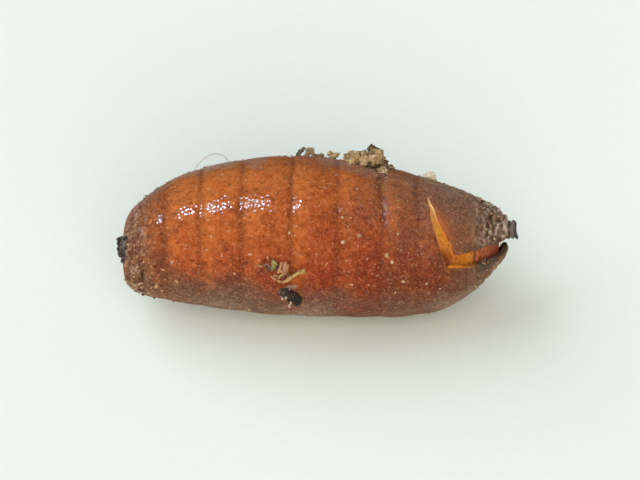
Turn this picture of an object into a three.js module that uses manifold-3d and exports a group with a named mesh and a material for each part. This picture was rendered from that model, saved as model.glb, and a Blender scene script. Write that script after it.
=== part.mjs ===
// Empty fly puparium: the hard amber skin that a fly has left, lying on its side with soil stuck to it.
// The shell is hollow, ringed by segment furrows, and torn open at the head end where its cap lifted.
// Millimetres, +X toward the head end, +Z up, the origin on the flat that the belly rests on.
import * as THREE from 'three';
import { mergeVertices } from 'three/addons/utils/BufferGeometryUtils.js';
import Module from 'manifold-3d';

// Driving dimensions of the shell.
const WALL = 0.1; // thickness of the skin
const CAVITY_SHIFT = [-0.004, 0.03]; // the hollow sits this far across and up, so the belly is the heavy side
const FLANK_TILT = 45; // degrees above the horizon faced by the flank that the outlines show
const REST_CLIP = 0.05; // depth of belly pressed flat where the shell rests
const AROUND = 40; // facets around the shell
const OUTLINE_SAMPLES = 600; // points along each smooth outline
const SAME_POINT = 1e-4; // corners closer than this are one corner

// Outlines of the flank: distance along the shell, and height above its middle line.
const BACK = [
  [-3.98, -0.26],
  [-3.94, 0.25],
  [-3.83, 0.5],
  [-3.6, 0.74],
  [-2.95, 1.17],
  [-1.98, 1.49],
  [-0.53, 1.64],
  [1.09, 1.46],
  [2.55, 1.05],
  [3.35, 0.72],
  [3.69, 0.47],
  [3.79, 0.35],
  [3.8, 0.13],
];
const BELLY = [
  [-3.98, -0.26],
  [-3.95, -0.8],
  [-3.85, -1.0],
  [-3.62, -1.14],
  [-2.95, -1.29],
  [-1.49, -1.51],
  [0.44, -1.61],
  [1.9, -1.58],
  [2.55, -1.43],
  [3.19, -1.02],
  [3.51, -0.68],
  [3.7, -0.46],
  [3.8, -0.26],
];
const TAIL = BACK[0][0];
const TIP = BACK.at(-1)[0];

// Furrows between the segments of the body, and the wrinkles of the cap.
const FURROWS = [-3.6, -3.13, -2.4, -1.56, -0.57, 0.34, 1.21, 1.96];
const CAP_WRINKLES = [2.99, 3.43];
const FURROW_DEPTH = 0.045;
const FURROW_WIDTH = 0.05;
const FURROW_SHOULDER = 0.09; // from the bottom of a furrow to where the skin is level again

// The tear: a slit up the flank along the cap's seam, and a slit forward to the tip on both sides.
const SEAM = 2.39; // where the seam crosses the middle of the flank
const SEAM_SLANT = 0.36; // how far the seam leans toward the tail at the back
const SEAM_BOW = 0.08;
const SLIT_WIDEST = 0.22; // opening of the slit at its corner
const SLIT_CLOSED = 0.03;
const FAR_SLIT_START = 3.5; // the slit on the far side is short
const LIP_COLUMN = -3; // facet edge of the lower lip
const CAP_COLUMN = -1; // facet edge of the lifted cap
const HINGE_COLUMN = 5; // facet edge where the slit up the flank ends
const LIP_RISE = 7; // degrees by which the lower lip climbs at the slit's corner
const LIP_RISE_END = 3.0;
const LIP_SAG = 15; // degrees by which the lower lip drops at the tip
const LIP_SAG_START = 3.1;
const LIP_SAG_SPREAD = 24; // degrees of skin under the lip that drop with it

// Breathing knobs at the tail and the mouth collar at the tip.
const KNOB_RADIUS = 0.2;
const KNOB_HEIGHT = 0.12;
const KNOB_SPREAD = 0.21;
const KNOB_RISE = 0.06; // above the middle of the tail
const COLLAR_RADIUS = 0.17;
const COLLAR_END = 4.0;
const COLLAR_LENGTH = 0.3;
const COLLAR_RISE = 0.16;
const TURNED_SIDES = 14; // facets around a knob or the collar

// Dirt on the shell.
const DIRT_GAP = 0.02; // space left between the dirt and the shell
const CRUMB_ROUGHNESS = 0.28;
const STRAND_RADIUS = 0.04;
const FIBRE_RADIUS = 0.014;
const STRAND_SIDES = 6;

const wasm = await Module();
wasm.setup();

const flankTilt = THREE.MathUtils.degToRad(FLANK_TILT);
const columnStep = 360 / AROUND;
const { clamp, smoothstep } = THREE.MathUtils;

// A point given along the shell, out of the flank, and up across the flank, as X, Y and Z.
function flankPoint(along, out, up) {
  const y = up * Math.sin(flankTilt) - out * Math.cos(flankTilt);
  const z = up * Math.cos(flankTilt) + out * Math.sin(flankTilt);
  return new THREE.Vector3(along, y, z);
}

// An outline as a height for any distance along the shell.
function outlineHeight(points) {
  const knots = points.map(([along, up]) => new THREE.Vector3(along, up, 0));
  const samples = new THREE.CatmullRomCurve3(knots, false, 'centripetal').getPoints(OUTLINE_SAMPLES);
  return (along) => {
    const next = clamp(samples.findIndex((p) => p.x >= along), 1, samples.length - 1);
    const [a, b] = [samples[next - 1], samples[next]];
    return a.y + ((b.y - a.y) * clamp(along - a.x, 0, b.x - a.x)) / (b.x - a.x);
  };
}
const backHeight = outlineHeight(BACK);
const bellyHeight = outlineHeight(BELLY);

// How far the furrows sink the skin.
function relief(along) {
  const depths = [...FURROWS, ...CAP_WRINKLES].map((f) => Math.exp(-(((along - f) / FURROW_WIDTH) ** 2)));
  return -FURROW_DEPTH * Math.max(...depths);
}

// The skin at a distance along the shell and an angle around it: 0 faces out of the flank, 90 up to the back.
function skinPoint(along, degrees, outset = 0) {
  const top = backHeight(along);
  const bottom = bellyHeight(along);
  const radius = (top - bottom) / 2 + relief(along) + outset;
  const angle = THREE.MathUtils.degToRad(degrees);
  return flankPoint(along, radius * Math.cos(angle), (top + bottom) / 2 + radius * Math.sin(angle));
}

// The seam's place along the shell at each angle, and the width of the slit that follows it.
function seamAlong(degrees) {
  const rise = Math.sin(THREE.MathUtils.degToRad(degrees));
  return SEAM - SEAM_SLANT * rise + SEAM_BOW * rise ** 2;
}
function slitWidth(column) {
  const open = (HINGE_COLUMN - column) / (HINGE_COLUMN - CAP_COLUMN);
  return Math.max(SLIT_CLOSED, SLIT_WIDEST * Math.min(1, open));
}

// Stations along the shell, closer together where it rounds off. Those near the seam lean with it.
const aroundFurrow = (f) => [f - FURROW_SHOULDER, f, f + FURROW_SHOULDER];
const midSegments = FURROWS.slice(1).map((f, i) => (f + FURROWS[i]) / 2);
const tailStations = [-3.97, -3.95, -3.9, -3.82];
const bodyStations = [...tailStations, ...FURROWS.flatMap(aroundFurrow), ...midSegments];
const innerStations = [-3.85, -3.78, ...FURROWS, ...midSegments];
const capStations = [2.75, ...CAP_WRINKLES.flatMap(aroundFurrow), 3.2, 3.6, 3.7, 3.77];
for (const stations of [bodyStations, innerStations, capStations]) stations.sort((a, b) => a - b);

function leanedStation(station, degrees) {
  const behind = (station - FURROWS.at(-2)) / (SEAM - FURROWS.at(-2));
  const ahead = (TIP - station) / (TIP - SEAM);
  const lean = clamp(Math.min(behind, ahead), 0, 1);
  return station + lean * (seamAlong(degrees) - SEAM);
}

// The angle of a facet edge: the edge of the lower lip climbs toward the slit's corner and sags at the tip.
function columnAngle(column, along) {
  const climb = column === LIP_COLUMN ? LIP_RISE * (1 - smoothstep(along, SEAM, LIP_RISE_END)) : 0;
  const underLip = ((LIP_COLUMN - column + AROUND) % AROUND) * columnStep;
  const sag = LIP_SAG * smoothstep(along, LIP_SAG_START, TIP) * Math.exp(-((underLip / LIP_SAG_SPREAD) ** 2));
  return column * columnStep + climb - sag;
}

// Rows of [along, degrees] for every facet edge, from the tail to the tip. The seam takes two rows.
const columns = Array.from({ length: AROUND }, (_, i) => i + LIP_COLUMN);
const farColumn = (column) => 180 / columnStep - column;
function stationRow(station) {
  return columns.map((column) => {
    const degrees = columnAngle(column, station);
    return [leanedStation(station, degrees), degrees];
  });
}
function seamRow(side) {
  return columns.map((column) => {
    const degrees = columnAngle(column, SEAM);
    return [seamAlong(degrees) + side * slitWidth(column), degrees];
  });
}
function skinRows(stations) {
  return [
    ...stations.map(stationRow),
    seamRow(0),
    seamRow(1),
    ...capStations.map(stationRow),
  ];
}

// Which facets the tear leaves open, by the row counted from the seam's first and by the column.
const farSlitRow = 2 + capStations.findIndex((s) => s >= FAR_SLIT_START);
function isTorn(rowFromSeam, column) {
  const between = (from, to) => column >= from && column < to;
  const upFlank = rowFromSeam === 0 && between(LIP_COLUMN, HINGE_COLUMN);
  const nearSide = rowFromSeam >= 0 && between(LIP_COLUMN, CAP_COLUMN);
  const farSide = rowFromSeam >= farSlitRow && between(farColumn(CAP_COLUMN), farColumn(LIP_COLUMN));
  return upFlank || nearSide || farSide;
}

// One face of the skin as a list of points and facets. The cap and the lower lip each have their own tip.
function skinSheet(stations, outset, torn, pullBack = 0) {
  const rows = skinRows(stations);
  const points = [];
  const facets = [];
  const add = (point) => points.push(point) - 1;
  const grid = rows.map((row) =>
    row.map(([along, degrees]) => {
      const point = skinPoint(along, degrees, outset);
      point.x -= pullBack * smoothstep(along, CAP_WRINKLES[0], TIP);
      return add(point);
    }),
  );
  const tail = add(flankPoint(TAIL + pullBack - Math.max(0, outset), 0, BACK[0][1]));
  const tipAlong = TIP - pullBack + Math.max(0, outset);
  const capTip = add(flankPoint(tipAlong, 0, BACK.at(-1)[1]));
  const lipTip = torn ? add(flankPoint(tipAlong, 0, BELLY.at(-1)[1] + pullBack / 2)) : capTip;
  const lastRow = rows.length - 1;
  const seam = stations.length;
  columns.forEach((column, i) => {
    const next = (i + 1) % AROUND;
    facets.push([tail, grid[0][i], grid[0][next]]);
    for (let row = 0; row < lastRow; row++) {
      if (torn && isTorn(row - seam, column)) continue;
      const [a, b, c, d] = [grid[row][i], grid[row + 1][i], grid[row + 1][next], grid[row][next]];
      facets.push([a, b, c], [a, c, d]);
    }
    if (torn && isTorn(lastRow - seam, column)) return;
    const onCap = column >= CAP_COLUMN && column < farColumn(CAP_COLUMN);
    facets.push([grid[lastRow][i], onCap ? capTip : lipTip, grid[lastRow][next]]);
  });
  const tearPoints = [...grid.slice(seam).flat(), capTip, lipTip];
  return { points, facets, tearPoints };
}

function solidOf(points, facets) {
  const geometry = new THREE.BufferGeometry().setFromPoints(points).setIndex(facets.flat());
  return geometrySolid(geometry);
}
function geometrySolid(geometry) {
  const bare = geometry.clone();
  bare.deleteAttribute('normal');
  bare.deleteAttribute('uv');
  const merged = mergeVertices(bare, SAME_POINT);
  const vertProperties = new Float32Array(merged.attributes.position.array);
  const triVerts = new Uint32Array(merged.index.array);
  return new wasm.Manifold(new wasm.Mesh({ numProp: 3, vertProperties, triVerts }));
}
function solidGeometry(solid) {
  const { vertProperties, triVerts } = solid.getMesh();
  const geometry = new THREE.BufferGeometry();
  geometry.setAttribute('position', new THREE.BufferAttribute(vertProperties, 3));
  geometry.setIndex(new THREE.BufferAttribute(triVerts, 1));
  geometry.computeVertexNormals();
  return geometry;
}
const joined = (solids) => solids.reduce((whole, piece) => whole.add(piece));

// The lowest point of the round belly sets the height of the whole object.
const belly = skinSheet(bodyStations, 0, false);
const floor = Math.min(...belly.points.map((p) => p.z)) + REST_CLIP;
const settled = (point) => point.clone().setZ(point.z - floor);
const rested = (point) => settled(point).setZ(Math.max(0, point.z - floor));
const shifted = (point) => settled(point).add(new THREE.Vector3(0, ...CAVITY_SHIFT));

// The hollow shell: outer and inner faces of the skin, joined by a rim all along the tear.
function hollowShell() {
  const outer = skinSheet(bodyStations, 0, true);
  const inner = skinSheet(innerStations, -WALL, true, WALL);
  const points = [...outer.points.map(rested), ...inner.points.map(shifted)];
  const shift = outer.points.length;
  const twin = new Map(outer.tearPoints.map((p, i) => [p, inner.tearPoints[i] + shift]));
  const edges = new Set(outer.facets.flatMap(([a, b, c]) => [`${a} ${b}`, `${b} ${c}`, `${c} ${a}`]));
  const rim = [];
  for (const edge of edges) {
    const [a, b] = edge.split(' ').map(Number);
    if (edges.has(`${b} ${a}`)) continue;
    rim.push([b, a, twin.get(a)], [b, twin.get(a), twin.get(b)]);
  }
  const lining = inner.facets.map(([a, b, c]) => [a + shift, c + shift, b + shift]);
  return solidOf(points, [...outer.facets, ...rim, ...lining]);
}

// A turned form along the shell, its profile given as radius and distance along X.
function turned(profile, centre) {
  const points = profile.map(([radius, along]) => new THREE.Vector2(radius, along));
  const geometry = new THREE.LatheGeometry(points, TURNED_SIDES).rotateZ(-Math.PI / 2);
  const place = settled(centre);
  return geometrySolid(geometry.translate(place.x, place.y, place.z));
}

// A breathing knob: a low button with a dished face.
function breathingKnob(side) {
  const face = TAIL - KNOB_HEIGHT;
  const profile = [
    [0, face + 0.03],
    [KNOB_RADIUS * 0.45, face + 0.02],
    [KNOB_RADIUS * 0.7, face],
    [KNOB_RADIUS * 0.95, face + 0.04],
    [KNOB_RADIUS, TAIL + 0.05],
    [0, TAIL + 0.05],
  ];
  return turned(profile, flankPoint(0, side * KNOB_SPREAD, BACK[0][1] + KNOB_RISE));
}

// The mouth collar: a short dark ring with a dished end.
function mouthCollar() {
  const start = COLLAR_END - COLLAR_LENGTH;
  const profile = [
    [0, start],
    [COLLAR_RADIUS * 0.9, start],
    [COLLAR_RADIUS, COLLAR_END - 0.08],
    [COLLAR_RADIUS * 0.85, COLLAR_END],
    [COLLAR_RADIUS * 0.5, COLLAR_END - 0.06],
    [0, COLLAR_END - 0.06],
  ];
  return turned(profile, flankPoint(0, 0, COLLAR_RISE));
}

const puparium = joined([hollowShell(), breathingKnob(1), breathingKnob(-1), mouthCollar()]);

// Dirt is shaped around the skin and then cut clear of it.
const clearance = skinSheet(bodyStations, DIRT_GAP, false);
const shellSpace = solidOf(clearance.points.map(settled), clearance.facets);

// A place on the skin, lifted off it, with axes along the shell, around it and out of it.
function placeOnSkin(along, degrees, lift) {
  const origin = settled(skinPoint(along, degrees, lift));
  const axis = new THREE.Vector3(1, 0, 0);
  const angle = THREE.MathUtils.degToRad(degrees);
  const normal = flankPoint(0, Math.cos(angle), Math.sin(angle));
  const around = normal.clone().cross(axis);
  return new THREE.Matrix4().makeBasis(axis, around, normal).setPosition(origin);
}

function seededRandom(seed) {
  let state = seed;
  return () => {
    state = (state * 16807) % 2147483647;
    return state / 2147483647;
  };
}

// A rough crumb: a ball with its corners moved in and out, sized along, around and out of the shell.
function crumb(seed, [along, degrees, lift], [length, width, height]) {
  const random = seededRandom(seed);
  const ball = new THREE.IcosahedronGeometry(0.5, 2);
  ball.deleteAttribute('normal');
  ball.deleteAttribute('uv');
  const merged = mergeVertices(ball, SAME_POINT);
  const corner = new THREE.Vector3();
  const corners = merged.attributes.position;
  for (let i = 0; i < corners.count; i++) {
    corner.fromBufferAttribute(corners, i);
    corner.multiplyScalar(1 + CRUMB_ROUGHNESS * (random() - 0.5));
    corners.setXYZ(i, corner.x, corner.y, corner.z);
  }
  merged.scale(length, width, height);
  return geometrySolid(merged.applyMatrix4(placeOnSkin(along, degrees, lift)));
}

// A thin strand through places on the skin.
function strand(radius, places, steps) {
  const route = places.map((place) => new THREE.Vector3().setFromMatrixPosition(placeOnSkin(...place)));
  const corners = Array.from({ length: STRAND_SIDES }, (_, i) => (i * 2 * Math.PI) / STRAND_SIDES);
  const section = new THREE.Shape(
    corners.map((a) => new THREE.Vector2(radius * Math.cos(a), radius * Math.sin(a))),
  );
  const extrudePath = new THREE.CatmullRomCurve3(route);
  return geometrySolid(new THREE.ExtrudeGeometry(section, { steps, extrudePath, bevelEnabled: false }));
}
const cutClear = (solids) => joined(solids).subtract(shellSpace);

const soilClump = cutClear([
  crumb(11, [0.7, 84, 0.07], [0.42, 0.34, 0.28]),
  crumb(12, [0.97, 80, 0.13], [0.5, 0.5, 0.42]),
  crumb(13, [1.05, 84, 0.3], [0.26, 0.26, 0.24]),
  crumb(14, [1.23, 82, 0.06], [0.4, 0.32, 0.24]),
]);
const soilFlake = cutClear([
  strand(
    STRAND_RADIUS,
    [
      [-0.5, 90, -0.02],
      [-0.4, 90, 0.1],
      [-0.28, 90, 0.16],
    ],
    4,
  ),
  crumb(21, [-0.22, 89, 0.1], [0.2, 0.16, 0.18]),
  crumb(22, [-0.16, 88, 0.02], [0.16, 0.14, 0.14]),
]);
const soilCrumb = cutClear([crumb(31, [0.27, 86, 0.04], [0.24, 0.22, 0.2])]);
const paleGrain = cutClear([crumb(41, [2.22, 86, 0.06], [0.24, 0.2, 0.22])]);
const darkGrain = cutClear([
  crumb(51, [-0.62, -50, 0.08], [0.4, 0.36, 0.3]),
  crumb(52, [-0.55, -58, 0.05], [0.3, 0.3, 0.24]),
]);
const plantShred = cutClear([
  strand(
    STRAND_RADIUS,
    [
      [-0.3, -24, 0.12],
      [-0.48, -30, 0.1],
      [-0.67, -34, 0.06],
      [-1.01, -31, 0.05],
    ],
    8,
  ),
  strand(
    STRAND_RADIUS,
    [
      [-1.23, -22, 0.05],
      [-1.0, -25, 0.09],
      [-0.67, -33, 0.06],
    ],
    6,
  ),
  strand(
    STRAND_RADIUS,
    [
      [-0.77, -19, 0.04],
      [-0.72, -26, 0.09],
      [-0.66, -34, 0.06],
    ],
    5,
  ),
]);
const fibre = cutClear([
  strand(
    FIBRE_RADIUS,
    [
      [-2.54, 90, 0],
      [-2.42, 90, 0.16],
      [-2.16, 90, 0.24],
      [-1.95, 90, 0.14],
      [-1.84, 90, 0],
    ],
    14,
  ),
]);

function mesh(name, solid, color, roughness) {
  const material = new THREE.MeshStandardMaterial({ color, roughness, metalness: 0 });
  const made = new THREE.Mesh(solidGeometry(solid), material);
  made.name = name;
  return made;
}

const specimen = new THREE.Group();
specimen.add(
  mesh('puparium', puparium, 0x9a4312, 0.35),
  mesh('soil_clump', soilClump, 0xb09468, 0.95),
  mesh('soil_flake', soilFlake, 0x6e6456, 0.95),
  mesh('soil_crumb', soilCrumb, 0xa48a62, 0.95),
  mesh('pale_grain', paleGrain, 0xd8c8a8, 0.8),
  mesh('plant_shred', plantShred, 0xb9966a, 0.8),
  mesh('dark_grain', darkGrain, 0x2c211a, 0.7),
  mesh('fibre', fibre, 0x9a968c, 0.7),
);

export default specimen;
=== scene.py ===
import math
import random

import bmesh
import bpy
import numpy as np
from mathutils import Matrix, Vector, noise


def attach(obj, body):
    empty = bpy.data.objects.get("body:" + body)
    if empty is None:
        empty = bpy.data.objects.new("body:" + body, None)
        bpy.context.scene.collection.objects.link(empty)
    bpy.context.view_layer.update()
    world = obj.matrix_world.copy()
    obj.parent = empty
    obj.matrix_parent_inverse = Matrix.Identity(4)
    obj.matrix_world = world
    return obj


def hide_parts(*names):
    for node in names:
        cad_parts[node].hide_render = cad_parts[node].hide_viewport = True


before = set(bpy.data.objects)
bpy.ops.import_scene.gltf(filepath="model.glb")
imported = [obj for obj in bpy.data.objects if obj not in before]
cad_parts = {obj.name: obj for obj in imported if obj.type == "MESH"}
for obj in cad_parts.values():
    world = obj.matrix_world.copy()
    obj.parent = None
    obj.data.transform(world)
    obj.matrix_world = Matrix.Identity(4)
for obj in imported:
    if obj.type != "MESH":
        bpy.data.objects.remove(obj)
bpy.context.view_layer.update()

# The shell: the last skin of a fly larva, hardened into a hollow barrel of dry amber chitin less than a
# tenth of a millimetre thick. Furrows ring it between the segments. The fly pushed a cap up at the head end,
# which tore the skin along the cap's seam and forward to the tip, and the cap dried where it stood.
MM = 0.001
FLANK_TILT = math.radians(45)
WALL = 0.085
REST_CLIP = 0.05
BACK = [
    (-3.98, -0.26), (-3.94, 0.25), (-3.83, 0.5), (-3.6, 0.74), (-2.95, 1.17), (-1.98, 1.49), (-0.53, 1.64),
    (1.09, 1.46), (2.55, 1.05), (3.35, 0.72), (3.69, 0.47), (3.79, 0.35), (3.8, 0.13),
]
BELLY = [
    (-3.98, -0.26), (-3.95, -0.8), (-3.85, -1.0), (-3.62, -1.14), (-2.95, -1.29), (-1.49, -1.51),
    (0.44, -1.61), (1.9, -1.58), (2.55, -1.43), (3.19, -1.02), (3.51, -0.68), (3.7, -0.46), (3.8, -0.26),
]
TAIL, TIP = BACK[0][0], BACK[-1][0]
FURROWS = [-3.6, -3.13, -2.4, -1.56, -0.57, 0.34, 1.21, 1.96]
FURROW_DEPTH, FURROW_WIDTH = 0.022, 0.05
SWELL, SWELL_WIDTH = 0.028, 0.17
CRUMPLE_START, CRUMPLE_FULL = 2.9, 3.45
CAP_CREASES = [3.1, 3.24, 3.35, 3.45, 3.56, 3.66]
CREASE_DEPTH, CREASE_WIDTH = 0.05, 0.026
FOLD_DEPTH, FOLD_STRETCH = 0.065, np.array([2.4, 1.0, 1.0])
WARTS_START, WARTS_FULL, WART_HEIGHT = 3.2, 3.75, 0.018
TAIL_CREASE, TAIL_CREASE_DEPTH, TAIL_CREASE_WIDTH = -3.58, 0.07, 0.045
SEAM, SEAM_SLANT, SEAM_BOW = 2.37, 0.45, 0.18
LEAN_START = FURROWS[-2]
LIP, CAP, HINGE = -27.0, -9.0, 45.0
SLIT_GAP = [
    (LIP, 0.05), (CAP, 0.22), (0.0, 0.24), (10.0, 0.19), (24.0, 0.12), (36.0, 0.065), (HINGE, 0.02),
]
SLIT_REACH, SLIT_TEETH = 0.6, 0.026
CAP_LIFT, CAP_LIFT_REACH = 0.035, 0.3
CAP_EDGE, CAP_TEETH = 6.0, 2.3
LIP_EDGE, LIP_TEETH = 10.0, 4.0
LIP_RISE, LIP_RISE_END = 7.0, 3.0
LIP_SAG, LIP_SAG_START, LIP_SAG_SPREAD = 15.0, 3.1, 24.0
CHAR_START, CHAR_FULL, CHAR_SPREAD = 2.85, 3.1, 17.0
THIN_EDGE, THIN_MIDDLE, THIN_SPREAD = 0.2, 20.0, 14.0
FAR_CAP, FAR_LIP, FAR_START, FAR_CLOSING = 189.0, 207.0, 3.4, 0.22
COLUMNS, BODY_ROWS, CAP_ROWS = 200, 150, 70
RIM_SHARPNESS = 50
ROUNDING = 1e-6


def outline(points):
    """Height of a smooth outline through the points, at any distance along the shell."""
    knots = np.array(points)
    knots = np.vstack([2 * knots[0] - knots[1], knots, 2 * knots[-1] - knots[-2]])
    samples = []
    for a, b, c, d in zip(knots, knots[1:], knots[2:], knots[3:]):
        ab, bc, cd = (np.linalg.norm(q - p) ** 0.5 for p, q in ((a, b), (b, c), (c, d)))
        leave = ((b - a) / ab - (c - a) / (ab + bc) + (c - b) / bc) * bc
        arrive = ((c - b) / bc - (d - b) / (bc + cd) + (d - c) / cd) * bc
        t = np.linspace(0, 1, 60)[:, None]
        samples.append(
            (2 * t**3 - 3 * t**2 + 1) * b + (t**3 - 2 * t**2 + t) * leave
            + (3 * t**2 - 2 * t**3) * c + (t**3 - t**2) * arrive
        )
    along, height = np.vstack(samples).T
    return lambda x: np.interp(x, along, height)


back_height, belly_height = outline(BACK), outline(BELLY)


def middle_and_radius(along):
    top, bottom = back_height(along), belly_height(along)
    return (top + bottom) / 2, (top - bottom) / 2


fine = np.linspace(TAIL, TIP, 4000)
fine_middle, fine_radius = middle_and_radius(fine)
AXIS_HEIGHT = float(np.max(fine_radius - fine_middle * math.cos(FLANK_TILT))) - REST_CLIP


def stacked(*values):
    """Joins values along a new last axis. Each may be one number, a row, a column or a whole grid."""
    return np.stack(np.broadcast_arrays(*values), axis=-1)


def from_flank(along, out, up):
    """Metres in the part's frame for a point along the shell, out of its flank and up across its flank."""
    y = up * math.sin(FLANK_TILT) - out * math.cos(FLANK_TILT)
    z = up * math.cos(FLANK_TILT) + out * math.sin(FLANK_TILT) + AXIS_HEIGHT
    return stacked(along, y, z) * MM


def skin_point(along, degrees, lift=0.0):
    """A point on the skin: 0 degrees faces out of the flank, and 90 is up on the back."""
    middle, radius = middle_and_radius(along)
    angle = np.radians(degrees)
    return from_flank(along, (radius + lift) * np.cos(angle), middle + (radius + lift) * np.sin(angle))


def smooth_step(value, low, high):
    t = np.clip((value - low) / (high - low), 0, 1)
    return t * t * (3 - 2 * t)


def bell(value, width):
    return np.exp(-((value / width) ** 2))


def noise_at(points, scale, seed):
    """Smooth noise from -1 to 1 at an array of points in millimetres."""
    shift = Vector((seed * 7.31, seed * 3.17, seed * 5.03))
    flat = (points.reshape(-1, 3) * scale).tolist()
    return np.array([noise.noise(Vector(p) + shift) for p in flat]).reshape(points.shape[:-1])


def equal_stations(start, end, count):
    """Stations along the shell that are equally far apart over its skin."""
    length = np.concatenate([[0], np.cumsum(np.hypot(np.diff(fine), np.diff(fine_radius)))])
    first, last = np.interp([start, end], fine, length)
    return np.interp(np.linspace(first, last, count), length, fine)


def seam_along(degrees):
    rise = np.sin(np.radians(degrees))
    return SEAM - SEAM_SLANT * rise + SEAM_BOW * rise**2


def around_from(degrees, centre):
    return (degrees - centre + 180) % 360 - 180


def column_angles():
    return LIP + np.arange(COLUMNS) * 360 / COLUMNS


def shell_grid():
    """Where the skin's grid lies along and around, its lift, the marks of its edges and the seam's row."""
    angle = column_angles()[None, :]
    body = equal_stations(TAIL, SEAM, BODY_ROWS + 1)[1:, None]
    cap = equal_stations(SEAM, TIP, CAP_ROWS + 1)[:-1, None]
    station = np.vstack([body, cap])
    on_cap = (np.arange(len(station)) >= len(body))[:, None]
    lean = np.minimum((station - LEAN_START) / (SEAM - LEAN_START), (TIP - station) / (TIP - SEAM))
    lean = np.clip(lean, 0, 1)
    ragged = stacked(0.0, angle * 0.11, station * 4)
    fray = noise_at(ragged, 1.0, 3) + 0.6 * noise_at(ragged, 2.7, 4)

    from_lip, from_cap = around_from(angle, LIP), around_from(angle, CAP)
    rise = LIP_RISE * (1 - smooth_step(station, SEAM, LIP_RISE_END)) * smooth_step(station, SEAM - 0.5, SEAM)
    sag = LIP_SAG * smooth_step(station, LIP_SAG_START, TIP) * bell(from_lip, LIP_SAG_SPREAD)
    sag = sag * (from_lip <= 0)
    torn_edge = stacked(angle * 0.03, station * 11, 0.0)
    teeth = noise_at(torn_edge, 1.0, 5) + 0.5 * noise_at(torn_edge, 2.3, 6)
    lip_fray = (1.2 * fray + LIP_TEETH * teeth) * smooth_step(station, SEAM + 0.4, SEAM + 0.9)
    cap_fray = CAP_TEETH * fray * smooth_step(station, SEAM, SEAM + 0.4) * (from_cap > (LIP - CAP) / 2)
    degrees = angle + bell(from_lip, LIP_EDGE) * (rise + lip_fray) - sag + bell(from_cap, CAP_EDGE) * cap_fray

    far = around_from(angle, (FAR_CAP + FAR_LIP) / 2)
    half = (FAR_LIP - FAR_CAP) / 2
    shut = 1 - smooth_step(np.abs(station - FAR_START), 0, FAR_CLOSING)
    drawn = np.where(np.abs(far) <= half, np.abs(far), half * bell(np.abs(far) - half, 8))
    degrees = degrees - np.sign(far) * shut * drawn

    along = station + lean * (seam_along(degrees) - SEAM)
    gap = np.interp(angle, *zip(*SLIT_GAP))
    torn = smooth_step(gap, 0.02, 0.06)
    along = along + on_cap * gap * np.clip(1 - (station - SEAM) / SLIT_REACH, 0, 1)
    along = along + SLIT_TEETH * fray * bell(station - SEAM, 0.08) * torn
    lift = CAP_LIFT * torn * on_cap * bell(station - SEAM, CAP_LIFT_REACH)
    char = np.clip(np.maximum(1.5 * bell(from_lip, CHAR_SPREAD), 0.6 * bell(from_cap, CAP_EDGE)), 0, 1)
    marks = {
        "charred": smooth_step(station, CHAR_START, CHAR_FULL) * char,
        # painted glow: the thin cap edge beside the slit is painted clear amber as if lit through
        "thin": on_cap * torn * bell(station - SEAM, THIN_EDGE) * bell(angle - THIN_MIDDLE, THIN_SPREAD),
    }
    return np.minimum(along, TIP - 0.004), degrees, lift, marks, len(body) - 1


def skin_relief(along, degrees, points):
    """How far the skin stands in or out at each crossing, and the marks that its colour follows."""

    def uneven(scale, seed):
        return noise_at(points, scale, seed)

    rise = np.sin(np.radians(degrees))
    wander = 0.07 * uneven(1.1, 11) + 0.03 * uneven(5.0, 18)
    fade = np.clip(0.7 + 0.8 * uneven(1.3, 12), 0.4, 1.3)
    offsets = (along + wander)[..., None] - np.array(FURROWS)
    nearest = np.argmin(np.abs(offsets), axis=-1)[..., None]
    behind = np.take_along_axis(offsets, nearest, axis=-1)[..., 0]
    distance = np.abs(behind)
    furrow = bell(distance, FURROW_WIDTH) * fade
    ease = 1 - 0.6 * smooth_step(np.abs(rise), 0.7, 1.0)
    relief = SWELL * ease * (0.6 - bell(distance, SWELL_WIDTH)) - FURROW_DEPTH * ease * furrow
    relief = relief + 0.014 * uneven(0.9, 13) + 0.007 * uneven(2.6, 14)

    upper = 0.35 + 0.65 * smooth_step(rise, -0.3, 0.1)
    crumple = smooth_step(along, CRUMPLE_START, CRUMPLE_FULL) * upper
    bend = along + 0.13 * uneven(2.0, 15) + 0.03 * uneven(6.0, 20)
    crease = np.max(bell(bend[..., None] - np.array(CAP_CREASES), CREASE_WIDTH), axis=-1)
    crease = crease * crumple * np.clip(0.4 + 1.6 * uneven(2.5, 19), 0, 1)
    folds = 0.5 - 2 * np.abs(noise_at(points * FOLD_STRETCH, 3.6, 16)) + 0.9 * uneven(9.0, 17)
    relief = relief + FOLD_DEPTH * crumple * folds - CREASE_DEPTH * crease

    tail = smooth_step(-along, WARTS_START, WARTS_FULL)
    warts = uneven(7.0, 21) + 0.5 * uneven(15.0, 22)
    low = smooth_step(-rise, 0.35, 0.6)
    tail_crease = bell(along + wander - TAIL_CREASE, TAIL_CREASE_WIDTH) * low
    tail_crease = tail_crease * np.clip(0.6 + 1.2 * uneven(4.0, 23), 0, 1)
    relief = relief + WART_HEIGHT * tail * warts - TAIL_CREASE_DEPTH * tail_crease

    settle = 0.2 * uneven(1.1, 28) + 0.12 * uneven(3.5, 29) + 0.07 * uneven(9.0, 30)
    side = rise * (1 + settle)
    marks = {
        "furrowed": bell(distance, 0.065) * fade,
        # painted light: a paler amber band on the head side of each furrow, where the swell faces the light
        "golden": bell(behind - 0.2, 0.14),
        # painted shade: the creases of the cap and the tail crease are marked to be painted near-black
        "creased": np.clip(crease * 1.2 + tail_crease * 2.0, 0, 1),
        "dusty": np.clip(crumple * (0.35 + folds) + tail * (0.1 + 0.45 * warts), 0, 1),
        "crest": smooth_step(side, 0.78, 1.15),
        "under": smooth_step(-side, 0.45, 1.0),
        # the upper and lower edges of the flank, where dust and a painted grazing sheen are laid on
        "rim": smooth_step(np.abs(side), 0.84, 1.12),
    }
    return relief, marks


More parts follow.
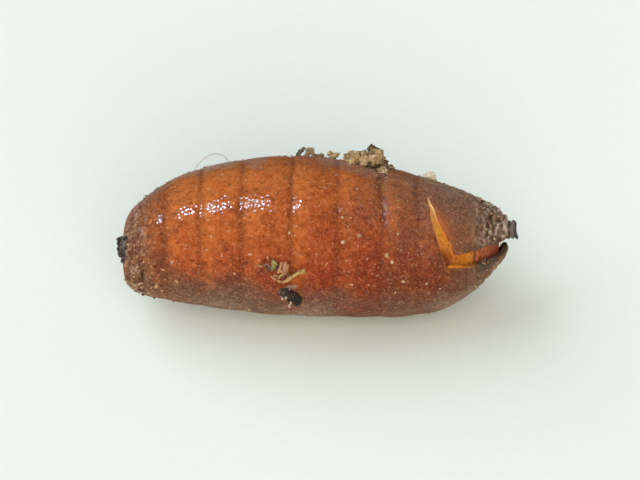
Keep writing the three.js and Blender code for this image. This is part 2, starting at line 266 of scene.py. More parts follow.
def torn_open(rows, seam_row):
    """The cells of the grid that the tear leaves out."""
    cell_row = np.arange(rows)[:, None]
    angle = column_angles()[None, :] + ROUNDING
    along_seam = (cell_row == seam_row) & (angle < HINGE)
    near_side = (cell_row >= seam_row) & (angle < CAP)
    station = np.concatenate([np.full(seam_row + 1, TAIL), equal_stations(SEAM, TIP, CAP_ROWS + 1)[:-1]])
    far_side = (station[:, None] >= FAR_START) & (angle > FAR_CAP) & (angle < FAR_LIP)
    return along_seam | near_side | far_side


def shell_arrays():
    along, degrees, lift, edge_marks, seam_row = shell_grid()
    relief, marks = skin_relief(along, degrees, skin_point(along, degrees) / MM)
    outer = skin_point(along, degrees, relief + lift)
    rows = len(along)
    index = np.arange(rows * COLUMNS).reshape(rows, COLUMNS)
    tail_pole, cap_pole, lip_pole = rows * COLUMNS + np.arange(3)
    pole_along, pole_up = np.array([TAIL, TIP, TIP - 0.01]), np.array([BACK[0][1], BACK[-1][1], BELLY[-1][1]])
    poles = from_flank(pole_along, 0.0, pole_up)
    vertices = np.vstack([outer.reshape(-1, 3), poles])
    vertices[:, 2] = np.maximum(vertices[:, 2], 0)
    open_cells = torn_open(rows, seam_row)
    after = np.roll(index, -1, axis=1)
    quads = stacked(index[:-1], index[1:], after[1:], after[:-1])[~open_cells[:-1]]
    angle = column_angles() + ROUNDING
    tip_pole = np.where((angle > CAP) & (angle < FAR_CAP), cap_pole, lip_pole)
    tail_fan = stacked(tail_pole, index[0], after[0])
    tip_fan = stacked(index[-1], tip_pole, after[-1])[~open_cells[-1]]
    faces = quads.tolist() + tail_fan.tolist() + tip_fan.tolist()
    marks.update(edge_marks)
    marks = {name: np.concatenate([m.reshape(-1), np.zeros(3)]) for name, m in marks.items()}
    return vertices, faces, marks


def without_loose(vertices, faces, marks):
    used = sorted({v for face in faces for v in face})
    place = {v: i for i, v in enumerate(used)}
    faces = [[place[v] for v in face] for face in faces]
    return vertices[used], faces, {name: m[used] for name, m in marks.items()}


def piece_from(name, vertices, faces, materials, face_materials=None, marks=None):
    """A smooth-shaded object from arrays, with a number on each vertex for every mark."""
    mesh = bpy.data.meshes.new(name)
    mesh.from_pydata([tuple(v) for v in vertices], [], faces)
    for material in materials:
        mesh.materials.append(material)
    if face_materials is not None:
        mesh.polygons.foreach_set("material_index", np.array(face_materials, np.int32))
    for label, values in (marks or {}).items():
        mesh.attributes.new(label, "FLOAT", "POINT").data.foreach_set("value", values.astype(np.float32))
    mesh.polygons.foreach_set("use_smooth", np.ones(len(mesh.polygons), bool))
    mesh.update()
    piece = bpy.data.objects.new(name, mesh)
    bpy.context.scene.collection.objects.link(piece)
    return piece


def thicken(vertices, faces, wall):
    """Adds an inner face and a rim to an open skin. Returns vertices, faces and 1 for each added face."""
    mesh = bpy.data.meshes.new("skin")
    mesh.from_pydata([tuple(v) for v in vertices], [], faces)
    mesh.update()
    normals = np.zeros(len(vertices) * 3, np.float32)
    mesh.vertex_normals.foreach_get("vector", normals)
    bpy.data.meshes.remove(mesh)
    inner = vertices - normals.reshape(-1, 3) * wall
    count = len(vertices)
    edges = {(a, b) for face in faces for a, b in zip(face, face[1:] + face[:1])}
    rim = [[b, a, a + count, b + count] for a, b in sorted(edges) if (b, a) not in edges]
    lining = [[v + count for v in reversed(face)] for face in faces]
    added = [0] * len(faces) + [1] * (len(rim) + len(lining))
    return np.vstack([vertices, inner]), faces + rim + lining, added


class Tone:
    """A socket in a material. Arithmetic on it adds Math nodes, and node() adds any other node."""

    def __init__(self, tree, socket=None):
        self.tree = tree
        self.socket = socket

    def node(self, kind, settings=None, sockets=None, output=0):
        made = self.tree.nodes.new("ShaderNode" + kind)
        for name, value in (settings or {}).items():
            if name == "stops":
                made.color_ramp.elements.remove(made.color_ramp.elements[1])
                made.color_ramp.elements[0].position = value[0][0]
                made.color_ramp.elements[0].color = (*value[0][1], 1)
                for position, colour in value[1:]:
                    made.color_ramp.elements.new(position).color = (*colour, 1)
            else:
                setattr(made, name, value)
        for name, value in (sockets or {}).items():
            if isinstance(value, Tone):
                self.tree.links.new(value.socket, made.inputs[name])
            elif made.inputs[name].type == "RGBA":
                made.inputs[name].default_value = (*value, 1)
            else:
                made.inputs[name].default_value = value
        return Tone(self.tree, made.outputs[output] if made.outputs else None)

    def math(self, operation, *values):
        return self.node("Math", {"operation": operation}, dict(enumerate(values)))

    def __add__(self, other):
        return self.math("ADD", self, other)

    def __sub__(self, other):
        return self.math("SUBTRACT", self, other)

    def __rsub__(self, other):
        return self.math("SUBTRACT", other, self)

    def __mul__(self, other):
        return self.math("MULTIPLY", self, other)

    __radd__ = __add__
    __rmul__ = __mul__

    def ramp(self, low, high):
        """0 to 1 as the value goes from low to high."""
        return self.node("MapRange", {}, {"Value": self, "From Min": low, "From Max": high})

    def mix(self, first, second):
        """The first colour where the value is 0, and the second where it is 1."""
        return self.node("Mix", {"data_type": "RGBA"}, {0: self, 6: first, 7: second}, output=2)

    def speckle(self, scale, detail=3.0):
        """Noise from 0 to 1 over a place, in about as many grains to the millimetre as the scale."""
        return self.node("TexNoise", {}, {"Vector": self, "Scale": scale, "Detail": detail, "Roughness": 0.6})

    def bump(self, strength, distance):
        """A normal that takes the value as a height, over a distance in millimetres."""
        return self.node("Bump", {}, {"Strength": strength, "Distance": distance * MM, "Height": self})


def finish(name, paint, *choices):
    """A material. The paint turns a place in millimetres into the values of the shader's sockets."""
    material = bpy.data.materials.new(name)
    material.use_nodes = True
    material.node_tree.nodes.clear()
    tone = Tone(material.node_tree)
    place = tone.node("TexCoord", output="Object")
    place = tone.node("VectorMath", {"operation": "SCALE"}, {0: place, "Scale": 1 / MM})
    shader = tone.node("BsdfPrincipled", {}, paint(place, *choices))
    tone.node("OutputMaterial", {}, {"Surface": shader})
    return material


def mark(place, name):
    """The number that the mesh carries under a name at each vertex."""
    return place.node("Attribute", {"attribute_name": name}, output="Fac")


def along_and_up(place):
    """How far along the shell a place is, and how far up across its flank."""
    along, y, z = (place.node("SeparateXYZ", {}, {0: place}, output=i) for i in range(3))
    return along, y * math.sin(FLANK_TILT) + (z - AXIS_HEIGHT) * math.cos(FLANK_TILT)


def layered(colour, *layers):
    """Lays colours over a first one, each as strong as the amount that stands before it."""
    for amount, tint in layers:
        colour = amount.mix(colour, tint)
    return colour


def translucent(radius, scale):
    """Light that enters a skin and spreads under it, red the farthest."""
    return {"Subsurface Weight": 1.0, "Subsurface Radius": radius, "Subsurface Scale": scale * MM}


AMBER = (0.56, 0.172, 0.042)
RED_AMBER = (0.268, 0.04, 0.017)
DEEP_RED = (0.16, 0.042, 0.02)
BACK_DUST = (0.22, 0.142, 0.1)
BELLY_BROWN = (0.105, 0.077, 0.064)
TAIL_BROWN = (0.21, 0.09, 0.046)
TAIL_DARK = (0.09, 0.04, 0.024)
RIM_DUST_AND_SHEEN = (0.3, 0.225, 0.17)
CAP_BROWN = (0.23, 0.118, 0.07)
TIP_BROWN = (0.14, 0.1, 0.074)
LIP_BROWN = (0.14, 0.075, 0.048)
CRUST_GREY = (0.54, 0.45, 0.36)
CREASE_SHADE_BROWN = (0.04, 0.018, 0.01)
PIT_BROWN = (0.09, 0.026, 0.012)
FLECK_PINK = (0.58, 0.35, 0.21)
FURROW_RED = (0.14, 0.034, 0.014)
PALE_AMBER = (0.6, 0.26, 0.11)
CHAR = (0.075, 0.055, 0.04)
LINING_GOLD, LINING_ORANGE = (0.66, 0.3, 0.04), (0.55, 0.2, 0.02)
LINING_LIT_PALE, LINING_DARK = (0.78, 0.6, 0.32), (0.1, 0.066, 0.045)


def amber_skin(place):
    along, up = along_and_up(place)
    cloud, mottle, grit = place.speckle(1.1), place.speckle(7.0), place.speckle(22.0)
    stain, flecks = place.speckle(12.0, 2.0), place.speckle(15.0, 1.0)
    drift = (cloud - 0.5) * 0.8 + (mottle - 0.5) * 0.5

    # the golden band takes red out as painted light on the side of each swell that faces the light
    red = up.ramp(1.1, -0.7) * 0.75 + along.ramp(-1.8, 2.2) * 0.45 + drift - mark(place, "golden") * 0.28
    deep = up.ramp(-0.1, -1.6) * 0.6 + along.ramp(0.0, 3.0) * 0.7 + drift
    haze = along.ramp(0.2, 2.6) * up.ramp(-1.2, 1.0)
    ridge = (mark(place, "crest") + up.ramp(1.2, 1.9) * 0.5 + haze * 1.05 + drift * 0.7).ramp(0.1, 1.1)
    # The skin is made redder and darker lower down, purple-brown towards the underside and low at the tail,
    # and darker brown low on the cap.
    low_left = up.ramp(-0.3, -1.0) * along.ramp(-0.8, -2.6)
    belly = (mark(place, "under") + low_left * 0.6 + drift).ramp(0.1, 1.1)
    low_tail = up.ramp(-0.1, -1.2) * along.ramp(-1.6, -3.2)
    tail = (along.ramp(-2.7, -3.8) + low_tail * 0.5 + drift * 1.2).ramp(0.1, 0.9)
    tail_brown = stain.ramp(0.42, 0.6).mix(TAIL_BROWN, TAIL_DARK)
    cap = (along.ramp(2.2, 3.3) + drift).ramp(0.1, 1.0)
    cap_brown = (along + drift).ramp(2.9, 3.4).mix(CAP_BROWN, TIP_BROWN)
    cap_brown = (up + drift * 0.4).ramp(-0.55, -0.1).mix(LIP_BROWN, cap_brown)
    dull = place.math("MAXIMUM", tail.ramp(0.55, 1.0), cap)
    dull = place.math("MAXIMUM", place.math("MAXIMUM", ridge, belly), dull)
    pale_fleck = dull.mix(PALE_AMBER, FLECK_PINK)
    colour = layered(
        red.ramp(0.0, 1.0).mix(AMBER, RED_AMBER),
        (deep.ramp(0.15, 1.0), DEEP_RED),
        (ridge * 0.85, BACK_DUST),
        (belly * 0.88, BELLY_BROWN),
        (tail * 0.9, tail_brown),
        (cap * 0.85, cap_brown),
        # dust with a painted grazing sheen along the upper and lower edges of the flank
        (mark(place, "rim") * 0.5, RIM_DUST_AND_SHEEN),
        (mark(place, "furrowed") * 0.6, FURROW_RED),
        (mottle.ramp(0.5, 0.72) * 0.35, PIT_BROWN),
        (mottle.ramp(0.45, 0.25) * 0.3, pale_fleck),
        (stain.ramp(0.5, 0.74) * 0.45, PIT_BROWN),
        (grit.ramp(0.5, 0.7) * (dull * 0.25 + 0.5), PIT_BROWN),
        (grit.ramp(0.47, 0.27) * 0.4, pale_fleck),
        (flecks.ramp(0.66, 0.76) * 0.7, FLECK_PINK),
        (mark(place, "dusty") * stain.ramp(0.58, 0.44), CRUST_GREY),
        # painted shade, near-black, in the creases of the cap and in the tail crease
        (mark(place, "creased") * 0.9, CREASE_SHADE_BROWN),
        # painted glow of light through the thin cap edge beside the slit
        (mark(place, "thin") * 0.6, AMBER),
        (mark(place, "charred") * mottle.ramp(0.1, 0.4), CHAR),
    )
    pimple = place.node("TexVoronoi", {}, {"Vector": place, "Scale": 10.0})
    height = (grit * 0.12 - pimple * pimple) * (dull + 1.0)
    sockets = {"Base Color": colour, "Roughness": dull * 0.8 + 0.12, "Normal": height.bump(1.0, 0.0065)}
    return {**sockets, "Specular IOR Level": 0.5, **translucent((1.0, 0.32, 0.09), 0.12)}


def amber_lining(place):
    along, up = along_and_up(place)
    mottle = place.speckle(5.0)
    colour = layered(
        mottle.ramp(0.3, 0.7).mix(LINING_GOLD, LINING_ORANGE),
        # painted light: the lining and its torn edges are paler higher up, where light falls on the edge
        (up.ramp(0.2, 0.6), LINING_LIT_PALE),
        ((along + (mottle - 0.5) * 0.5).ramp(2.85, 3.15), LINING_DARK),
    )
    sockets = {"Base Color": colour, "Roughness": 0.35 + mottle * 0.2, "Normal": mottle.bump(0.3, 0.01)}
    return {**sockets, **translucent((1.0, 0.4, 0.1), 0.12)}


skin_vertices, skin_faces, skin_marks = without_loose(*shell_arrays())
shell_vertices, shell_faces, lined = thicken(skin_vertices, skin_faces, WALL * MM)
shell_marks = {name: np.concatenate([m, m]) for name, m in skin_marks.items()}
shell_finishes = [finish("amber_skin", amber_skin), finish("amber_lining", amber_lining)]
shell = piece_from("shell", shell_vertices, shell_faces, shell_finishes, lined, shell_marks)
shell.data.set_sharp_from_angle(angle=math.radians(RIM_SHARPNESS))
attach(shell, "root")
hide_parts("puparium")

# The inner skin: the thin golden skin that the pupa left behind, lying against the inside of the shell.
# It shows only in the tear. Light through the shell is painted on it: paler colour higher up and an emitted
# glow.
INNER_DEPTH, INNER_WALL = 0.12, 0.012
INNER_START, INNER_END = 1.85, 3.6
INNER_FROM, INNER_TO = LIP - 24, HINGE + 6
INNER_ROWS, INNER_COLUMNS = 120, 90
INNER_FOLD = 3.1
INNER_LIT_PALE, INNER_GOLD, INNER_ORANGE = (0.78, 0.52, 0.22), (0.55, 0.26, 0.04), (0.58, 0.18, 0.025)
INNER_RED, INNER_SPECKS_AND_SHADE, INNER_UNLIT = (0.36, 0.105, 0.046), (0.1, 0.022, 0.01), (0.05, 0.01, 0.0)


def inner_skin_arrays():
    station = np.linspace(INNER_START, INNER_END, INNER_ROWS)[:, None]
    degrees = np.linspace(INNER_FROM, INNER_TO, INNER_COLUMNS)[None, :]
    flat = skin_point(station, degrees) / MM
    along = station + 0.05 * noise_at(flat, 6.0, 24) * smooth_step(station, 3.3, INNER_END)
    wrinkle = 0.03 * noise_at(flat * np.array([1.0, 2.0, 2.0]), 2.5, 25) + 0.014 * noise_at(flat, 8.0, 26)
    depth = INNER_DEPTH + 0.05 * smooth_step(along, 3.0, INNER_END)
    depth = depth + 0.06 * bell(along - INNER_FOLD + 0.04 * noise_at(flat, 3.0, 27), 0.022)
    vertices = skin_point(along, degrees, wrinkle - depth).reshape(-1, 3)
    index = np.arange(INNER_ROWS * INNER_COLUMNS).reshape(INNER_ROWS, INNER_COLUMNS)
    quads = stacked(index[:-1, :-1], index[1:, :-1], index[1:, 1:], index[:-1, 1:])
    return vertices, quads.reshape(-1, 4).tolist()


def golden_skin(place):
    along, up = along_and_up(place)
    fibre_grain = place.speckle(6.0, 5.0)
    uneven = (fibre_grain - 0.5) * 0.3
    across = along + uneven * 0.2
    # the fold and the corner are masks for painted shade
    fold = across.ramp(INNER_FOLD - 0.04, INNER_FOLD) * across.ramp(INNER_FOLD + 0.04, INNER_FOLD)
    corner = across.ramp(2.66, 2.56) * (up + uneven * 0.5).ramp(-0.2, -0.4)
    specks = place.speckle(17.0, 2.0).ramp(0.52, 0.66)
    colour = layered(
        # painted light: paler higher up, where light comes through the shell
        (up + uneven).ramp(0.25, 0.75).mix(INNER_GOLD, INNER_LIT_PALE),
        ((up + uneven).ramp(0.2, -0.25), INNER_ORANGE),
        ((along + uneven).ramp(INNER_FOLD - 0.06, INNER_FOLD + 0.06), INNER_RED),
        # darker towards the tip; painted shade along the fold and in the corner of the tear; the same colour
        # gives the dark specks
        ((along + uneven).ramp(3.3, 3.58), INNER_SPECKS_AND_SHADE),
        (place.math("MAXIMUM", fold * 0.9, corner * 0.85), INNER_SPECKS_AND_SHADE),
        (fibre_grain.ramp(0.45, 0.7) * 0.45, INNER_RED),
        (specks * (along.ramp(2.6, 3.2) * 0.4 + 0.4), INNER_SPECKS_AND_SHADE),
    )
    # painted glow: emission in the skin's own colour, fading out lower down
    painted_glow = (up + uneven).ramp(-0.5, 0.0).mix(INNER_UNLIT, colour)
    rough = 0.4 + fibre_grain * 0.2
    sockets = {"Base Color": colour, "Roughness": rough, "Normal": fibre_grain.bump(0.4, 0.01)}
    sockets.update(translucent((1.0, 0.5, 0.12), 0.1))
    return {**sockets, "Emission Color": painted_glow, "Emission Strength": 0.42}


inner_vertices, inner_faces, _ = thicken(*inner_skin_arrays(), INNER_WALL * MM)
inner_skin = piece_from("inner_skin", inner_vertices, inner_faces, [finish("golden_skin", golden_skin)])
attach(inner_skin, "root")
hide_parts("puparium")

# The breathing knobs: two black buttons of hard chitin on the tail, each with three slits that the larva
# breathed through. They grew with the skin and stand close together on the flat of the tail.
KNOB_SPREAD, KNOB_RISE = 0.2, 0.07
KNOB_PROFILE = [
    (0.0, 0.05), (0.07, 0.06), (0.12, 0.085), (0.16, 0.07), (0.18, 0.03), (0.19, -0.08), (0.0, -0.08),
]
KNOB_STRETCH = 1.15
KNOB_SLITS = (75, 150, 225)
KNOB_GRIT = [
    (-0.08, 0.2, 0.14, 0.1), (-0.03, 0.3, -0.12, 0.14), (-0.05, 0.1, -0.16, 0.12),
    (-0.07, 0.32, 0.05, 0.1), (-0.04, -0.22, 0.14, 0.12), (-0.02, -0.3, -0.12, 0.13),
    (0.03, 0.2, -0.29, 0.1), (-0.08, 0.26, -0.06, 0.08), (0.07, 0.62, 0.13, 0.16),
    (0.08, 0.64, -0.03, 0.15), (0.06, 0.6, -0.14, 0.16), (0.03, 0.52, -0.28, 0.12),
]
BLACK_CHITIN, KNOB_GRIME = (0.028, 0.024, 0.024), (0.24, 0.2, 0.17)


def turned(profile, rings, sides):
    """A closed turned form: points as (distance along, out, up) for from_flank, and the faces."""
    corners = np.array(profile)
    length = np.concatenate([[0], np.cumsum(np.hypot(*np.diff(corners, axis=0).T))])
    step = np.linspace(0, length[-1], rings)[1:-1]
    radius, along = (np.interp(step, length, column)[:, None] for column in corners.T)
    turn = np.arange(sides)[None, :] * 2 * math.pi / sides
    ring = stacked(along, radius * np.cos(turn), radius * np.sin(turn)).reshape(-1, 3)
    ends = np.array([(corners[0, 1], 0, 0), (corners[-1, 1], 0, 0)])
    index = np.arange(len(ring)).reshape(-1, sides)
    after = np.roll(index, -1, axis=1)
    faces = stacked(index[1:], after[1:], after[:-1], index[:-1]).reshape(-1, 4).tolist()
    faces += stacked(index[0], after[0], len(ring)).tolist()
    faces += stacked(after[-1], index[-1], len(ring) + 1).tolist()
    return np.vstack([ring, ends]), faces


def gathered(parts):
    """Joins parts, each of vertices, faces and a shade from 0 to 1, into one set of arrays."""
    vertices, faces, shades, start = [], [], [], 0
    for points, sides, shade in parts:
        vertices.append(points)
        faces += [[v + start for v in side] for side in sides]
        shades.append(np.full(len(points), shade))
        start += len(points)
    return np.vstack(vertices), faces, {"shade": np.concatenate(shades)}


def lump(seed, size, crag=0.3, fineness=4):
    """A rough crumb of a length, width and height in millimetres: a ball pushed in and out by noise."""
    ball = bmesh.new()
    bmesh.ops.create_icosphere(ball, subdivisions=fineness, radius=0.5)
    points = np.array([v.co for v in ball.verts])
    faces = [[v.index for v in face.verts] for face in ball.faces]
    ball.free()
    crags = noise_at(points, 2.4, seed) + 0.6 * noise_at(points, 5.5, seed)
    crags = crags + 0.35 * noise_at(points, 12.0, seed)
    return points * (1 + crag * crags[:, None]) * np.array(size), faces


def breathing_knob(side):
    points, faces = turned(KNOB_PROFILE, rings=44, sides=72)
    height, out, up = points.T
    radius, turn = np.hypot(out, up), np.arctan2(up, out)
    groove = 0
    for degrees in KNOB_SLITS:
        off = turn - math.radians(degrees) * side
        beside = radius * np.abs(np.sin(off)) + (np.cos(off) < 0)
        groove = np.maximum(groove, bell(beside, 0.014) * smooth_step(radius, 0.03, 0.06))
    groove = groove * (1 - smooth_step(radius, 0.11, 0.14)) * (height > 0)
    worn = points + np.array([0.0, side, 0.0])
    bulge = 1 + 0.3 * noise_at(worn, 4.0, 31) + 0.14 * noise_at(worn, 11.0, 32)
    height = height * (1 + 0.5 * noise_at(worn, 3.0, 33))
    along = TAIL - height + 0.03 * groove - 0.02 * noise_at(worn, 13.0, 34)
    up = up * bulge * KNOB_STRETCH + BACK[0][1] + KNOB_RISE
    return from_flank(along, out * bulge + side * KNOB_SPREAD, up), faces, 0.0


def knob_grit():
    made = []
    for seed, (ahead, out, up, size) in enumerate(KNOB_GRIT, 300):
        points, faces = lump(seed, (size * 0.8, size, size), 0.5, 3)
        vertices = from_flank(*points.T) - from_flank(0.0, 0.0, 0.0)
        vertices = vertices + from_flank(TAIL + ahead, out, up + BACK[0][1] + KNOB_RISE)
        made.append((vertices, [face[::-1] for face in faces], 0.0))
    return made


def black_chitin(place):
    grime = place.speckle(11.0, 4.0)
    dusty = grime.ramp(0.42, 0.62)
    colour = (dusty * 0.7).mix(BLACK_CHITIN, KNOB_GRIME)
    return {"Base Color": colour, "Roughness": 0.3 + dusty * 0.4, "Normal": grime.bump(0.5, 0.012)}


knob_parts = [breathing_knob(1), breathing_knob(-1)] + knob_grit()
knob_vertices, knob_faces, _ = gathered(knob_parts)
knobs = piece_from("breathing_knobs", knob_vertices, knob_faces, [finish("black_chitin", black_chitin)])
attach(knobs, "root")
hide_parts("puparium")

# The mouth collar: a short dark ringed tube at the tip, the dried neck of the larva's mouth. It is the same
# skin as the cap, drawn in and thickened, and dirt has dried into its rings.
COLLAR_RISE = 0.17
COLLAR_END, COLLAR_GRIME = 4.0, (0.26, 0.21, 0.17)
COLLAR_PROFILE = [
    (0.0, 3.58), (0.24, 3.6), (0.22, 3.68), (0.2, 3.76), (0.215, 3.8), (0.165, 3.835), (0.2, 3.875),
    (0.16, 3.91), (0.2, 3.95), (0.17, 3.985), (0.13, 3.98), (0.09, 3.93), (0.0, 3.92),
]
# The pale grey stop is a painted highlight band round the collar; the other stops are its own browns and
# greys.
COLLAR_BANDS_AND_HIGHLIGHT = [
    (0.0, (0.16, 0.1, 0.07)), (0.3, (0.07, 0.055, 0.05)), (0.55, (0.045, 0.04, 0.04)),
    (0.72, (0.24, 0.22, 0.2)), (0.82, (0.09, 0.08, 0.075)), (1.0, (0.03, 0.027, 0.026)),
]


def mouth_collar():
    points, faces = turned(COLLAR_PROFILE, rings=90, sides=80)
    along, out, up = points.T
    rough = 1 + 0.3 * noise_at(points, 3.6, 35) + 0.14 * noise_at(points, 12.0, 36)
    free = smooth_step(along, 3.68, 3.9)
    along = along + free * (0.05 * noise_at(points, 4.0, 37) - 0.17 * (up + 0.05))
    return from_flank(np.minimum(along, COLLAR_END), out * rough, up * rough + COLLAR_RISE), faces


def collar_chitin(place):
    grime = place.speckle(9.0, 5.0)
    along, _ = along_and_up(place)
    band = (along + (grime - 0.5) * 0.12).ramp(COLLAR_PROFILE[1][1], COLLAR_PROFILE[9][1])
    # the bands include a painted highlight band round the collar
    colour = place.node("ValToRGB", {"stops": COLLAR_BANDS_AND_HIGHLIGHT}, {"Fac": band})
    colour = (grime.ramp(0.5, 0.7) * 0.5).mix(colour, COLLAR_GRIME)
    return {"Base Color": colour, "Roughness": 0.45 + grime * 0.3, "Normal": grime.bump(0.5, 0.014)}


collar = piece_from("mouth_collar", *mouth_collar(), [finish("collar_chitin", collar_chitin)])
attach(collar, "root")
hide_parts("puparium")

# The soil clump: a lump of damp sandy soil that dried onto the back, two tan lobes with a grey grain on top
# and a darker skirt towards the head. Small broken grains stand out all over it. Each lump is its seed, its
# place along, around and out of the skin, its size and its shade from dark to pale.
CLUMP_LOBES = [
    (41, (0.68, 81, 0.08), (0.42, 0.42, 0.3), 0.55),
    (42, (0.92, 78, 0.1), (0.32, 0.46, 0.32), 0.62),
    (43, (1.12, 81, 0.18), (0.34, 0.38, 0.32), 0.5),
    (44, (1.05, 87, 0.31), (0.14, 0.13, 0.13), 0.24),
    (45, (1.26, 83, 0.05), (0.26, 0.34, 0.2), 0.36),
    (46, (1.38, 82, 0.0), (0.18, 0.28, 0.1), 0.36),
    (47, (1.26, 68, 0.02), (0.18, 0.18, 0.1), 0.7),
    (48, (1.0, 72, 0.03), (0.18, 0.14, 0.1), 0.1),
]
CLUMP_GRAINS, CLUMP_GRAIN_SIZES = 460, (0.025, 0.085)
SOIL_CRAG, SOIL_SHARPNESS = 0.45, 35
SOIL_STOPS = [
    (0.0, (0.03, 0.024, 0.018)), (0.28, (0.14, 0.095, 0.055)),
    (0.6, (0.42, 0.29, 0.14)), (1.0, (0.7, 0.57, 0.38)),
]


def on_skin(points, along, degrees, lift=0.0):
    """Moves points in millimetres along, around and out of the skin to their place on it."""
    angle = math.radians(degrees)
    out = (from_flank(0.0, math.cos(angle), math.sin(angle)) - from_flank(0.0, 0.0, 0.0)) / MM
    axes = np.array([(1.0, 0.0, 0.0), np.cross(out, (1.0, 0.0, 0.0)), out])
    return skin_point(along, degrees, lift) + points @ axes * MM


def any_way(draw):
    return Vector((draw.gauss(0, 1), draw.gauss(0, 1), draw.gauss(0, 1))).normalized()


def grain(draw, size, corners=11):
    """A grain broken flat on all sides: the hull of a few points on a ball, stretched to a size."""
    shape = bmesh.new()
    for _ in range(corners):
        shape.verts.new(any_way(draw) * 0.5)
    bmesh.ops.convex_hull(shape, input=shape.verts)
    bmesh.ops.recalc_face_normals(shape, faces=shape.faces)
    shape.verts.index_update()
    points = np.array([v.co for v in shape.verts]) * np.array(size)
    faces = [[v.index for v in face.verts] for face in shape.faces]
    shape.free()
    return points, faces


def turned_at_random(draw, points):
    axis = any_way(draw)
    return points @ np.array(Matrix.Rotation(draw.uniform(0, math.tau), 3, axis))


def grains_over(draw, lobes, count, smallest, largest):
    """Small grains half sunk in the outer sides of lumps, each with a shade near its lump's own."""
    made = []
    for _ in range(count):
        vertices, _, shade = draw.choice(lobes)
        size = smallest * (largest / smallest) ** draw.random() * np.array([1.3, 1.0, 0.8])
        points, faces = grain(draw, size)
        place = vertices[draw.randrange(len(vertices))]
        points = turned_at_random(draw, points) * MM + place
        made.append((points, faces, min(1.0, max(0.0, shade + draw.gauss(0.02, 0.26)))))
    return made


def soil(place, stops, sparkle=0.0):
    """Dry soil: the shade of each grain picks its colour, with fine dirt over it."""
    dirt, blotch = place.speckle(22.0, 4.0), place.speckle(6.0)
    shade = mark(place, "shade") + (dirt - 0.5) * 0.5 + (blotch - 0.5) * 0.3
    colour = place.node("ValToRGB", {"stops": stops}, {"Fac": shade})
    sockets = {"Base Color": colour, "Roughness": 0.9 - dirt * sparkle, "Normal": dirt.bump(0.8, 0.02)}
    return {**sockets, "Specular IOR Level": 0.3}


def dirt_piece(name, parts, material, node):
    """Joins parts into one piece that stands for a node, or only rides on the shell where there is none."""
    vertices, faces, marks = gathered(parts)
    vertices[:, 2] = np.maximum(vertices[:, 2], 0)
    piece = piece_from(name, vertices, faces, [material], marks=marks)
    piece.data.set_sharp_from_angle(angle=math.radians(SOIL_SHARPNESS))
    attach(piece, "root")
    if node:
        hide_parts(node)


def lumps_on_skin(lobes, crag=0.3):
    made = []
    for seed, place, size, shade in lobes:
        points, faces = lump(seed, size, crag)
        made.append((on_skin(points, *place), faces, shade))
    return made


clump = lumps_on_skin(CLUMP_LOBES, SOIL_CRAG)
clump += grains_over(random.Random(4), clump, CLUMP_GRAINS, *CLUMP_GRAIN_SIZES)
dirt_piece("soil_clump_grains", clump, finish("sandy_soil", soil, SOIL_STOPS), "soil_clump")

# The soil flake: a dark grey-green sliver of soil crust that stands on the ridge of the back and leans on a
# tan crumb. Both are stuck by the dried mud at their feet.
FLAKE_ROUTE = [(-0.48, 90, -0.03), (-0.43, 90, 0.05), (-0.37, 90, 0.11), (-0.3, 90, 0.17)]
FLAKE_WIDTH, FLAKE_THICKNESS, FLAKE_SHADE = 0.12, 0.08, 0.3
FLAKE_GRAINS, FINE_GRAIN_SIZES = 110, (0.018, 0.05)
FLAKE_CRUMBS = [
    (51, (-0.2, 89, 0.14), (0.17, 0.13, 0.07), 0.7),
    (52, (-0.25, 89, 0.06), (0.08, 0.12, 0.13), 0.6),
    (53, (-0.16, 88, 0.07), (0.09, 0.1, 0.1), 0.65),
    (55, (-0.08, 88, 0.02), (0.14, 0.1, 0.07), 0.5),
    (56, (0.02, 89, 0.03), (0.12, 0.1, 0.09), 0.55),
]
FLAKE_STOPS = [
    (0.0, (0.025, 0.026, 0.02)), (0.3, (0.12, 0.115, 0.085)),
    (0.6, (0.38, 0.28, 0.15)), (1.0, (0.62, 0.52, 0.36)),
]


def unit_rows(rows):
    return rows / np.linalg.norm(rows, axis=1, keepdims=True)


def strand(route, width, thickness, seed, taper=0.5, sides=12, steps=44):
    """A closed strand of flattened section through places on the skin, uneven as dry matter is."""
    knots = skin_point(*np.array(route).T) / MM
    outs = skin_point(*(np.array(route) + (0, 0, 1.0)).T) / MM - knots
    knots = np.vstack([2 * knots[0] - knots[1], knots, 2 * knots[-1] - knots[-2]])
    t = np.linspace(0, len(route) - 1, steps)
    leg = np.minimum(t.astype(int), len(route) - 2)
    f = (t - leg)[:, None]
    a, b, c, d = (knots[leg + k] for k in range(4))
    square, cube = 2 * a - 5 * b + 4 * c - d, 3 * b - a - 3 * c + d
    centre = 0.5 * (2 * b + (c - a) * f + square * f**2 + cube * f**3)
    heading = unit_rows(np.gradient(centre, axis=0))
    out = outs[leg] * (1 - f) + outs[leg + 1] * f
    side = unit_rows(np.cross(heading, out))
    out = np.cross(side, heading)
    turn = np.arange(sides) * 2 * math.pi / sides
    slim = 1 - taper * np.abs(np.linspace(-1, 1, steps)) ** 6
    reach = (width / 2 * np.cos(turn))[None, :, None] * side[:, None] * slim[:, None, None]
    reach = reach + (thickness / 2 * np.sin(turn))[None, :, None] * out[:, None] * slim[:, None, None]
    around = centre[:, None] + reach
    uneven = 1 + 0.4 * noise_at(around, 7.0, seed) + 0.35 * noise_at(around, 19.0, seed)
    points = (centre[:, None] + reach * uneven[..., None]).reshape(-1, 3) * MM
    index = np.arange(steps * sides).reshape(steps, sides)
    after = np.roll(index, -1, axis=1)
    faces = stacked(index[:-1], index[1:], after[1:], after[:-1]).reshape(-1, 4).tolist()
    faces += [index[0].tolist(), index[-1][::-1].tolist()]
    return points, faces


